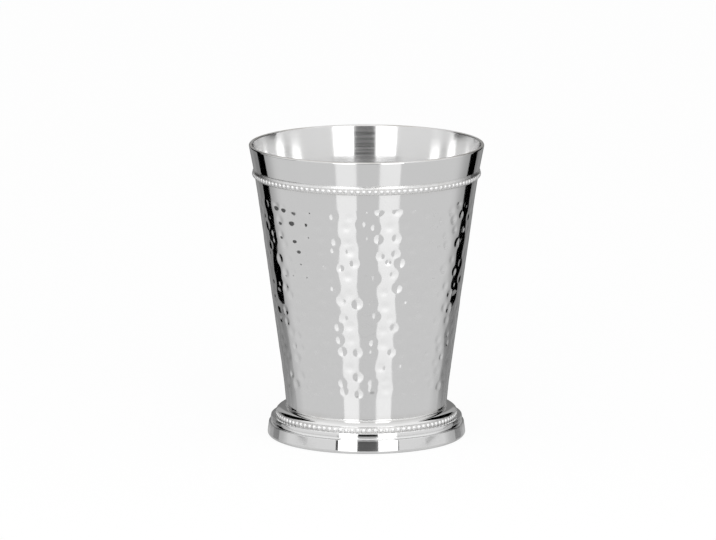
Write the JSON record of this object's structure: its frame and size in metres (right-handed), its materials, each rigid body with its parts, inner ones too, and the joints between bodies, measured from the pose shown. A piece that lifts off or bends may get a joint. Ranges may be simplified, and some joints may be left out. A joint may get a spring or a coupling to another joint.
{
  "type": "julep cup",
  "caption": "Footed, tapering metal julep cup with a hammered body, a plain flared lip, beaded wire under the lip and a stepped, beaded foot ring.",
  "frame": {"origin": "centre of the foot ring on the table that the cup stands on", "axes": "+Z is the cup's axis, up to its mouth; the cup looks the same from every side, and -Y faces the camera of the picture"},
  "size_m": [0.0856, 0.0856, 0.108],
  "materials": {
    "cup_body": "mirror-polished silver plate, hammered between two plain strips, finely brushed inside",
    "lip_bead_wire": "mirror-polished silver plate with tarnish between the beads",
    "lip_bead_solder": "plated solder, polished with the body",
    "foot_ring": "mirror-polished silver plate",
    "foot_bead_wire": "mirror-polished silver plate with tarnish between the beads",
    "foot_solder": "plated solder, polished with the body"
  },
  "bodies": {
    "root": {"cup_body": "cup_body", "lip_bead_wire": "lip_bead_wire", "lip_bead_solder": "lip_bead_solder", "foot_ring": "foot_ring", "foot_bead_wire": "foot_bead_wire", "foot_solder": "foot_solder"}
  },
  "joints": []
}
